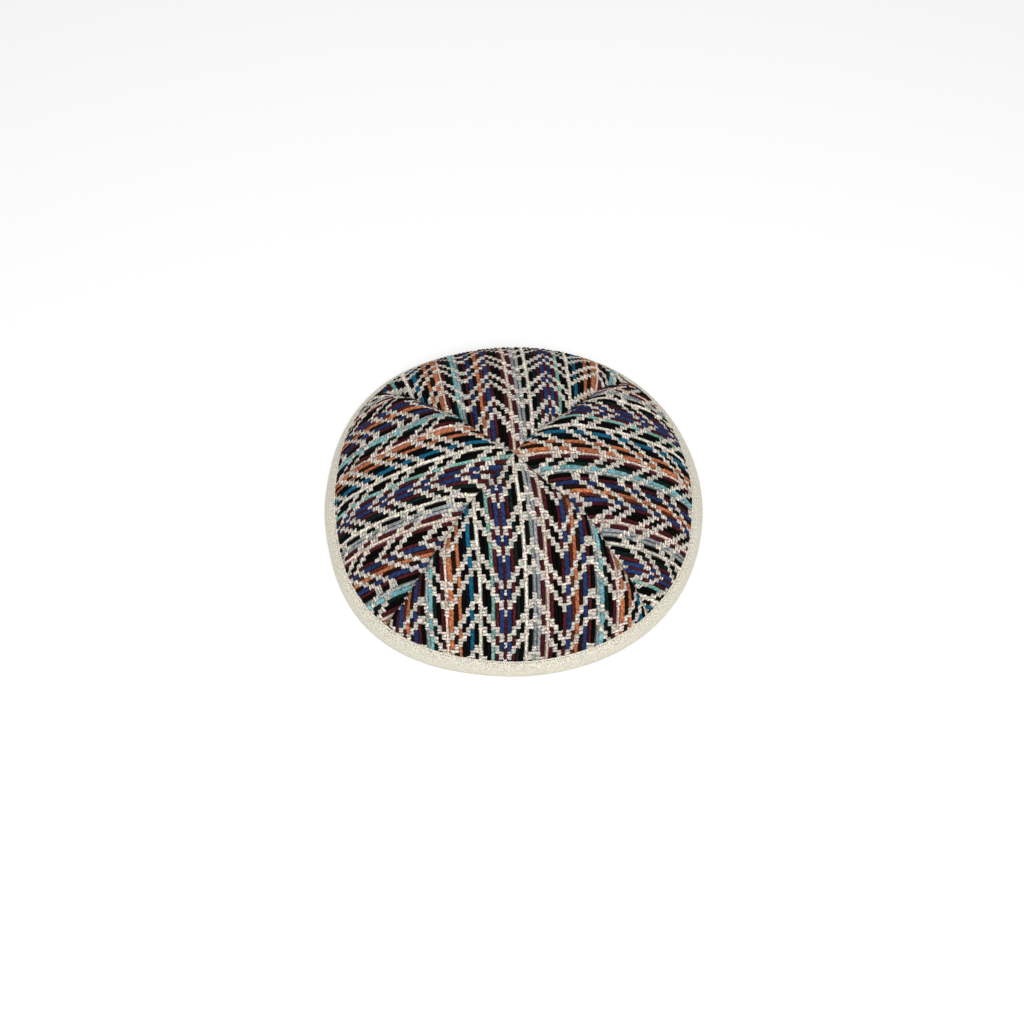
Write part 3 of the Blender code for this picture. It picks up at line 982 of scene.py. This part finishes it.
def make_tape():
    """The tape: its section carried round the rim, with the sole pressed flat.

    The upper edge of the outer leg follows tape_top, with slow waves and a small
    raggedness on both edges.
    """
    stations = np.arange(TAPE_STATIONS) * 360.0 / TAPE_STATIONS
    section = tape_section()[:, :, None]
    place, offset, turn, radius, azimuth = np.broadcast_arrays(*section.swapaxes(0, 1), stations)
    folded = radius > 0.0
    offset = np.where(folded, radius * np.cos(turn) - CLOTH_THICKNESS / 2.0, offset)
    rise = smooth_ramp((CLOTH_EDGE_PLACE - place) * ARC_LENGTH / WAVES_START)
    ragged = np.random.default_rng(TAPE_SEED).uniform(-1.0, 1.0, TAPE_STATIONS)
    leg = (CLOTH_EDGE_PLACE - place) / (CLOTH_EDGE_PLACE - TAPE_TOP / ARC_LENGTH)
    leg = np.where(offset > 0.0, np.clip(leg, 0.0, 1.0), 0.0)
    shift = WAVE_SIZE * rise * tape_wobble(azimuth) + RAGGED_SIZE * ragged * rise ** 3
    place = place + (shift + leg * (tape_top(azimuth) - TAPE_TOP)) / ARC_LENGTH
    swell = SWELL_SIZE * tape_wobble(SWELL_RATE * azimuth + SWELL_TURN) * (offset > SWELL_OVER)
    down = radius * np.sin(turn)
    outwards = down * np.cos(place * GROUND_ANGLE)
    points = dome_point(place, azimuth, offset + swell * rise)
    points[..., 0] += outwards * np.cos(np.radians(azimuth))
    points[..., 1] += outwards * np.sin(np.radians(azimuth))
    points[..., 2] = np.maximum(points[..., 2] - down * np.sin(place * GROUND_ANGLE), 0.0)
    numbers = np.arange(place.size).reshape(place.shape)
    next_row = np.roll(numbers, -1, axis=0)
    faces = np.stack([
        numbers, np.roll(numbers, -1, axis=1), np.roll(next_row, -1, axis=1), next_row],
        axis=-1).reshape(-1, 4)
    piece = new_piece("rim_tape", points, faces.tolist(), [tape_material()])
    steps = np.linalg.norm(np.diff(points[:, 0], axis=0, append=points[:1, 0]), axis=1)
    girth = (steps.sum() - np.concatenate([[0.0], np.cumsum(steps)])) / MILLIMETRE
    round_step = 2.0 * math.pi * RIM_RADIUS / MILLIMETRE / TAPE_STATIONS
    round_way = np.arange(TAPE_STATIONS) * round_step
    low = np.broadcast_to(round_way, place.shape)
    near = np.broadcast_to(girth[:-1, None], place.shape)
    far = np.broadcast_to(girth[1:, None], place.shape)
    high = low + round_step
    corners = np.stack([pair(low, near), pair(high, near), pair(high, far), pair(low, far)], axis=2)
    add_map(piece, "tape", corners.reshape(-1, 2))
    return piece


def make_stitches():
    """Stitches of the tape: short spindles along a line below its upper edge."""
    count = int(round(2.0 * math.pi * RIM_RADIUS / sizes().stitch_spacing))
    random = np.random.default_rng(STITCH_SEED)
    jitter = random.uniform(-STITCH_JITTER, STITCH_JITTER, count)
    azimuth = (np.arange(count) + jitter) * 360.0 / count
    swell = np.sqrt(1.0 - STITCH_STATIONS ** 2)[:, None]
    half = np.degrees(0.5 * sizes().stitch_length / RIM_RADIUS)
    ring_share, side, lift = ring_parts(PICK_RING)
    around = (azimuth[:, None] + half * STITCH_STATIONS)[..., None] + 0.0 * side
    down = sizes().stitch_down + random.uniform(-STITCH_STRAY, STITCH_STRAY, (count, 1, 1))
    place = (tape_top(around) + down - STITCH_HALF_WIDTH * swell * side) / ARC_LENGTH
    height = STITCH_HEIGHT + STITCH_SWELL * (swell * lift - (STITCH_STATIONS ** 2)[:, None])
    points = dome_point(place, around, np.broadcast_to(height, place.shape))
    fade = random.uniform(0.0, 1.0, (count, 1)) ** 3
    tints = np.array(colours().stitch) * (1.0 - fade) + np.array(colours().tape) * fade
    path = np.broadcast_to(STITCH_STATIONS, (count, len(STITCH_STATIONS)))
    return tube_piece("tape_stitches", points, ring_share, path, tints, yarn_material())


def node_tools(material):
    """Functions that add nodes to a material.

    add makes any node and links or sets its inputs, maths gives the result of a
    Math node, and blend that of a Vector Math node. noise gives the outputs of a
    noise in object coordinates, and chart the two numbers of a UV map.
    """
    tree = material.node_tree

    def add(kind, inputs=None, **settings):
        node = tree.nodes.new(kind)
        for name, value in settings.items():
            setattr(node, name, value)
        for socket, value in (inputs or {}).items():
            if isinstance(value, bpy.types.NodeSocket):
                tree.links.new(value, node.inputs[socket])
            else:
                node.inputs[socket].default_value = value
        return node

    def maths(operation, *values):
        return add("ShaderNodeMath", dict(enumerate(values)), operation=operation).outputs[0]

    def blend(operation, *values):
        node = add("ShaderNodeVectorMath", dict(enumerate(values)), operation=operation)
        return node.outputs[0]

    def noise(scale, detail):
        place = add("ShaderNodeTexCoord").outputs["Object"]
        node = add("ShaderNodeTexNoise", {"Vector": place, "Scale": scale, "Detail": detail})
        return node.outputs

    def chart(name):
        map_node = add("ShaderNodeUVMap", uv_map=name)
        return add("ShaderNodeSeparateXYZ", {0: map_node.outputs[0]}).outputs[:2]

    return add, maths, blend, noise, chart


def finish_shader(material, colour, relief, bump, finish):
    """Link a colour and a relief to the shader.

    bump is the strength and distance of the relief, finish the roughness and
    the specular level.
    """
    tree = material.node_tree
    shader = tree.nodes["Principled BSDF"]
    node = tree.nodes.new("ShaderNodeBump")
    node.inputs["Strength"].default_value = bump[0]
    node.inputs["Distance"].default_value = bump[1]
    tree.links.new(relief, node.inputs["Height"])
    tree.links.new(colour, shader.inputs["Base Color"])
    tree.links.new(node.outputs[0], shader.inputs["Normal"])
    shader.inputs["Roughness"].default_value = finish[0]
    shader.inputs["Specular IOR Level"].default_value = finish[1]


def new_material(name):
    """A material with its Principled shader, or the one of that name if it was made."""
    made = bpy.data.materials.get(name)
    if made is not None:
        return made, None
    material = bpy.data.materials.new(name)
    material.use_nodes = True
    return material, material.node_tree.nodes["Principled BSDF"]


def yarn_material():
    """Matt wool and cotton yarn: its tint, two twisted plies and a fine fuzz, with painted shade on
    its flanks and in the grooves of its plies.
    """
    material, shader = new_material("twisted_yarn")
    if shader is None:
        return material
    add, maths, blend, noise, chart = node_tools(material)
    tint = add("ShaderNodeVertexColor", layer_name="tint").outputs["Color"]
    around, along = chart("yarn")
    ply_turns = 2.0 * math.pi / (sizes().ply_length / MILLIMETRE)
    twist = maths("MULTIPLY_ADD", along, ply_turns, maths("MULTIPLY", around, 4.0 * math.pi))
    ply = maths("MULTIPLY_ADD", maths("SINE", twist), 0.5, 0.5)
    fuzz, fuzz_colour = noise(*FIBRE_NOISE)
    patches = noise(*PATCH_NOISE)[0]
    # Painted shade: each yarn is darker on its flanks than on its crest, and darker in the grooves
    # between its plies
    crest = maths("SINE", maths("MULTIPLY", around, math.pi))
    shade = maths("MULTIPLY_ADD", maths("MULTIPLY", crest, crest), *YARN_PAINTED_FLANK_SHADE)
    for part, gain_and_base in ((ply, YARN_PAINTED_PLY_SHADE), (fuzz, YARN_FUZZ), (patches, YARN_PATCHES)):
        shade = maths("MULTIPLY", shade, maths("MULTIPLY_ADD", part, *gain_and_base))
    tinged = blend("MULTIPLY", tint, blend("MULTIPLY_ADD", fuzz_colour, *YARN_TINGE))
    relief = maths("MULTIPLY_ADD", fuzz, YARN_RELIEF, ply)
    finish_shader(material, blend("MULTIPLY", tinged, shade), relief, YARN_BUMP, YARN_FINISH)
    return material


def colour_steps(add, share, names, first, whole):
    """Constant colour ramp over a part of the warp repeat."""
    ramp = add("ShaderNodeValToRGB", {0: share})
    ramp.color_ramp.interpolation = "CONSTANT"
    elements = ramp.color_ramp.elements
    while len(elements) < len(names):
        elements.new(1.0)
    for number, name in enumerate(names):
        elements[number].position = (first + number) / whole
        elements[number].color = (*getattr(colours(), name), 1.0)
    return ramp.outputs[0]


def cloth_material(name, reverse):
    """The ground of the cloth: warp colours and cream weft, charted by column and repeat.

    The map holds the warp column and the repeats down. The chevron's steps come
    from a ramp over the columns. On the reverse, cream and warp change places.
    A ramp has room for 32 colours, so the warp takes two. The outside is darkened as
    painted shadow under the yarns, less so under the cream bands, and both sides carry
    painted shade in the grooves of the weave.
    """
    material, shader = new_material(name)
    if shader is None:
        return material
    add, maths, blend, noise, chart = node_tools(material)
    whole = len(WARP)
    column, repeats = chart("chart")
    middle = maths("ADD", column, 0.5)
    wrapped = maths("FLOORED_MODULO", maths("FLOOR", middle), float(whole))
    share = maths("DIVIDE", maths("ADD", wrapped, 0.25), float(whole))
    half = (whole + 1) // 2
    low = colour_steps(add, share, WARP[:half], 0, whole)
    high = colour_steps(add, share, WARP[half:], half, whole)
    later = maths("GREATER_THAN", share, half / whole)
    warp = add("ShaderNodeMix", {0: later, 6: low, 7: high}, data_type="RGBA").outputs[2]

    steps = add("ShaderNodeValToRGB", {0: share})
    steps.color_ramp.interpolation = "LINEAR"
    stops = [(0.0, float(chevron_step(0.0))), *zip(TURN_COLUMNS[1:-1], TURN_STEPS[1:-1])]
    elements = steps.color_ramp.elements
    while len(elements) < len(stops):
        elements.new(1.0)
    for number, (column_at, step) in enumerate(stops):
        elements[number].position = (column_at + 0.25) / whole
        elements[number].color = (step / TOP_STEP,) * 3 + (1.0,)
    climbed = maths("MULTIPLY", steps.outputs[0], TOP_STEP / STEPS_IN_REPEAT)
    phase = maths("FRACT", maths("ADD", repeats, climbed))
    bands = 0.0
    for centre in BAND_CENTRES:
        shifted = maths("FRACT", maths("ADD", phase, 0.5 - centre))
        away = maths("ABSOLUTE", maths("SUBTRACT", shifted, 0.5))
        bands = maths("ADD", maths("LESS_THAN", away, BAND_HALF), bands)
    if reverse:
        bands = maths("SUBTRACT", 1.0, bands)

    # Painted shade: the ground darkens between the picks and towards the edges of each column
    picks = maths("MULTIPLY", repeats, 2.0 * math.pi * PICKS_IN_REPEAT)
    rib = maths("MULTIPLY_ADD", maths("COSINE", picks), 0.5, 0.5)
    hump = maths("SINE", maths("MULTIPLY", maths("FRACT", middle), math.pi))
    hump = maths("MULTIPLY", rib, hump)
    # On the outside the cream is lifted so that the painted shadow is lighter under the cream bands
    boost = 1.0 if reverse else CREAM_BOOST
    cream = (*(boost * value for value in colours().cream), 1.0)
    mixed = add("ShaderNodeMix", {0: bands, 6: warp, 7: cream}, data_type="RGBA").outputs[2]
    fuzz = noise(*FUZZ_NOISE)[0]
    # Painted shade of the weave, and on the outside a low base that is painted shadow under the yarns
    shade = maths("MULTIPLY_ADD", hump, *(CLOTH_REVERSE_PAINTED_SHADE if reverse else CLOTH_OUTSIDE_PAINTED_SHADE))
    shade = maths("MULTIPLY", shade, maths("MULTIPLY_ADD", fuzz, *CLOTH_FUZZ))
    relief = maths("MULTIPLY_ADD", fuzz, CLOTH_RELIEF, hump)
    finish_shader(material, blend("MULTIPLY", mixed, shade), relief, CLOTH_BUMP, CLOTH_FINISH)
    return material


def tape_material():
    """Ivory twill tape: fine slanting ribs, a speckle and slow changes of tone."""
    material, shader = new_material("ivory_twill_tape")
    if shader is None:
        return material
    add, maths, blend, noise, chart = node_tools(material)

    def wave(value, distance):
        """Sine of a length, with its waves the given distance apart."""
        return maths("SINE", maths("MULTIPLY", value, 2.0 * math.pi / distance))

    along, up = chart("tape")
    slant = maths("MULTIPLY_ADD", up, TAPE_SLOPE, along)
    rib = maths("MULTIPLY_ADD", wave(slant, TAPE_RIB_DISTANCE), 0.5, 0.5)
    weave = maths("MULTIPLY", wave(along, TAPE_THREAD_DISTANCE), wave(up, TAPE_THREAD_DISTANCE))
    fade = add("ShaderNodeMapRange", {0: up, **TAPE_FADE}).outputs[0]
    speckle, fleck = noise(*FLECK_NOISE)
    tone = maths("MULTIPLY_ADD", noise(*TONE_NOISE)[0], *TAPE_TONE)
    grain = maths("MULTIPLY_ADD", rib, TAPE_RIB, maths("MULTIPLY", speckle, TAPE_SPECKLE))
    grain = maths("MULTIPLY", maths("SUBTRACT", grain, TAPE_GRAIN_MIDDLE), fade)
    shade = maths("MULTIPLY", maths("ADD", grain, TAPE_BASE), tone)
    tinged = blend("MULTIPLY_ADD", fleck, *TAPE_TINGE)
    tinged = blend("MULTIPLY", tinged, tuple(colours().tape))
    relief = maths("MULTIPLY_ADD", speckle, TAPE_RELIEF[1], rib)
    relief = maths("MULTIPLY_ADD", weave, TAPE_RELIEF[0], relief)
    finish_shader(material, blend("MULTIPLY", tinged, shade), relief, TAPE_BUMP, TAPE_FINISH)
    shader.inputs["Sheen Weight"].default_value = TAPE_SHEEN
    return material


class CAP_OT_cloth(bpy.types.Operator):
    """Cloth shells of the four panels, which stand for the CAD gores"""

    bl_idname = "cap.cloth"
    bl_label = "Cloth shells"

    def execute(self, context):
        for panel in PANELS:
            piece = make_shell(panel)
            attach(piece, BODY)
            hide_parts(panel)
        return {"FINISHED"}


class CAP_OT_warp(bpy.types.Operator):
    """Coloured warp floats of the four panels"""

    bl_idname = "cap.warp"
    bl_label = "Warp floats"

    def execute(self, context):
        for number, panel in enumerate(PANELS):
            piece = make_floats(panel, FLOAT_SEED + number)
            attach(piece, BODY)
        return {"FINISHED"}


class CAP_OT_weft(bpy.types.Operator):
    """Cream weft picks of the four panels"""

    bl_idname = "cap.weft"
    bl_label = "Weft picks"

    def execute(self, context):
        for number, panel in enumerate(PANELS):
            piece = make_picks(panel, PICK_SEED + number)
            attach(piece, BODY)
        return {"FINISHED"}


class CAP_OT_tape(bpy.types.Operator):
    """Folded tape round the rim, which stands for the CAD binding"""

    bl_idname = "cap.tape"
    bl_label = "Rim tape"

    def execute(self, context):
        piece = make_tape()
        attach(piece, BODY)
        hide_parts("rim_binding")
        return {"FINISHED"}


class CAP_OT_stitches(bpy.types.Operator):
    """Small stitches along the tape's upper edge"""

    bl_idname = "cap.stitches"
    bl_label = "Tape stitches"

    def execute(self, context):
        piece = make_stitches()
        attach(piece, BODY)
        return {"FINISHED"}


class CAP_OT_stage(bpy.types.Operator):
    """Pale floor, soft studio light and the camera"""

    bl_idname = "cap.stage"
    bl_label = "Stage"

    def execute(self, context):
        scene = context.scene
        corners = np.array([[-1.0, -1.0, 0.0], [1.0, -1.0, 0.0], [1.0, 1.0, 0.0], [-1.0, 1.0, 0.0]])
        material, shader = new_material("pale_floor")
        shader.inputs["Base Color"].default_value = (*colours().floor, 1.0)
        shader.inputs["Roughness"].default_value = 1.0
        shader.inputs["Specular IOR Level"].default_value = 0.0
        floor = new_piece("floor", corners * FLOOR_HALF_WIDTH, [[0, 1, 2, 3]], [material])

        world = bpy.data.worlds.new("studio")
        world.use_nodes = True
        world.node_tree.nodes["Background"].inputs[0].default_value = (1.0, 1.0, 1.0, 1.0)
        world.node_tree.nodes["Background"].inputs[1].default_value = STUDIO_LIGHT
        scene.world = world
        scene.view_settings.view_transform = "Standard"

        add_softbox("key_light", *KEY_LIGHT)
        add_softbox("top_light", *TOP_LIGHT)

        camera_data = bpy.data.cameras.new("camera")
        camera_data.sensor_width = SENSOR
        camera_data.lens = FOCAL_PIXELS * SENSOR / IMAGE_PIXELS
        camera_data.clip_start = 0.01
        camera = bpy.data.objects.new("camera", camera_data)
        scene.collection.objects.link(camera)
        raised = math.radians(VIEW_ELEVATION)
        camera.location = (
            0.0, -VIEW_DISTANCE * math.cos(raised), CROWN_HEIGHT + VIEW_DISTANCE * math.sin(raised))
        tilt = raised + math.atan(APEX_UP_PIXELS / FOCAL_PIXELS)
        yaw = math.atan(APEX_RIGHT_PIXELS / FOCAL_PIXELS) / math.cos(raised)
        camera.rotation_euler = (0.5 * math.pi - tilt, 0.0, yaw)
        scene.camera = camera
        return {"FINISHED"}


def add_softbox(name, location, size, power):
    """Square area light aimed at the cap."""
    light = bpy.data.lights.new(name, "AREA")
    light.size = size
    light.energy = power
    lamp = bpy.data.objects.new(name, light)
    bpy.context.scene.collection.objects.link(lamp)
    lamp.location = location
    flat = math.hypot(location[0], location[1])
    lamp.rotation_euler = (
        math.atan2(flat, location[2]), 0.0, math.atan2(location[1], location[0]) + 0.5 * math.pi)


class CAP_PT_panel(bpy.types.Panel):
    """Sidebar panel that lists the pieces of the cap"""

    bl_idname = "CAP_PT_panel"
    bl_label = "Woven skullcap"
    bl_space_type = "VIEW_3D"
    bl_region_type = "UI"
    bl_category = "Skullcap"

    def draw(self, context):
        layout = self.layout
        for operator in OPERATORS:
            layout.operator(operator.bl_idname)
        for group in (context.scene.cap_sizes, context.scene.cap_colours):
            box = layout.box()
            for name in group.__annotations__:
                box.prop(group, name)


OPERATORS = (
    CAP_OT_stage, CAP_OT_cloth, CAP_OT_warp, CAP_OT_weft, CAP_OT_tape, CAP_OT_stitches,
)
CLASSES = (CapSizes, CapColours, *OPERATORS, CAP_PT_panel)


def register():
    """Register the classes and the scene's settings."""
    for cls in CLASSES:
        bpy.utils.register_class(cls)
    bpy.types.Scene.cap_sizes = PointerProperty(type=CapSizes)
    bpy.types.Scene.cap_colours = PointerProperty(type=CapColours)


def unregister():
    """Take back what register did."""
    del bpy.types.Scene.cap_colours
    del bpy.types.Scene.cap_sizes
    for cls in reversed(CLASSES):
        bpy.utils.unregister_class(cls)


def main():
    """Make every piece in order."""
    register()
    bpy.ops.cap.stage()
    bpy.ops.cap.cloth()
    bpy.ops.cap.warp()
    bpy.ops.cap.weft()
    bpy.ops.cap.tape()
    bpy.ops.cap.stitches()


if __name__ == "__main__":
    main()
